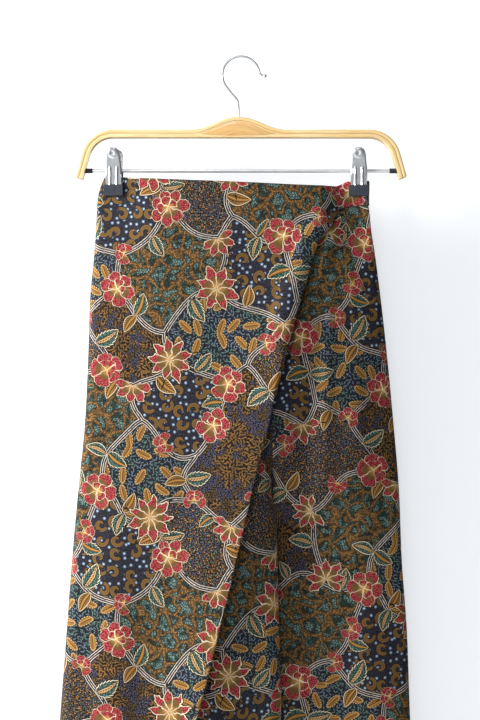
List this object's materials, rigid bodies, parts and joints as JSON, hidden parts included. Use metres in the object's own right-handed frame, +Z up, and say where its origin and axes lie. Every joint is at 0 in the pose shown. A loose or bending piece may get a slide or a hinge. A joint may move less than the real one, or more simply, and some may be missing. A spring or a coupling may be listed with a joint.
{
  "type": "batik wrap pants on a clip hanger",
  "caption": "Wide-leg wrap pants in batik cotton, with a crossed front panel and a plain waistband, hung flat by the waist from the clips of a bent-wood hanger.",
  "frame": {"origin": "underside of the top of the hook's arc, where a rail or wall hook carries it", "axes": "+Z up, front of the garment faces -Y, the wearer's left side is at +X"},
  "size_m": [0.4536, 0.089, 1.0497],
  "materials": {
    "batik_cotton": "plain-woven printed cotton, matt with a faint sheen",
    "bent_wood": "pale clear-varnished laminated wood",
    "inlay_wood": "warmer clear-varnished wood",
    "hanger_steel": "bright plated steel",
    "cap_plastic": "near-black moulded plastic",
    "pad_rubber": "dark blue-grey rubber"
  },
  "bodies": {
    "root": {"wrap_panel": "batik_cotton", "front_right": "batik_cotton", "front_left": "batik_cotton", "back_right": "batik_cotton", "back_left": "batik_cotton", "waistband_front": "batik_cotton", "waistband_back": "batik_cotton", "hanger_beam_top": "bent_wood", "hanger_beam_under": "bent_wood", "hanger_inlay": "inlay_wood", "hanger_rod": "hanger_steel", "hanger_hook": "hanger_steel", "rod_cap_right": "cap_plastic", "rod_cap_left": "cap_plastic", "clip_front_plate_right": "hanger_steel", "clip_back_plate_right": "hanger_steel", "clip_front_pad_right": "pad_rubber", "clip_back_pad_right": "pad_rubber", "clip_sleeve_right": "hanger_steel", "clip_front_plate_left": "hanger_steel", "clip_back_plate_left": "hanger_steel", "clip_front_pad_left": "pad_rubber", "clip_back_pad_left": "pad_rubber", "clip_sleeve_left": "hanger_steel"}
  },
  "joints": []
}
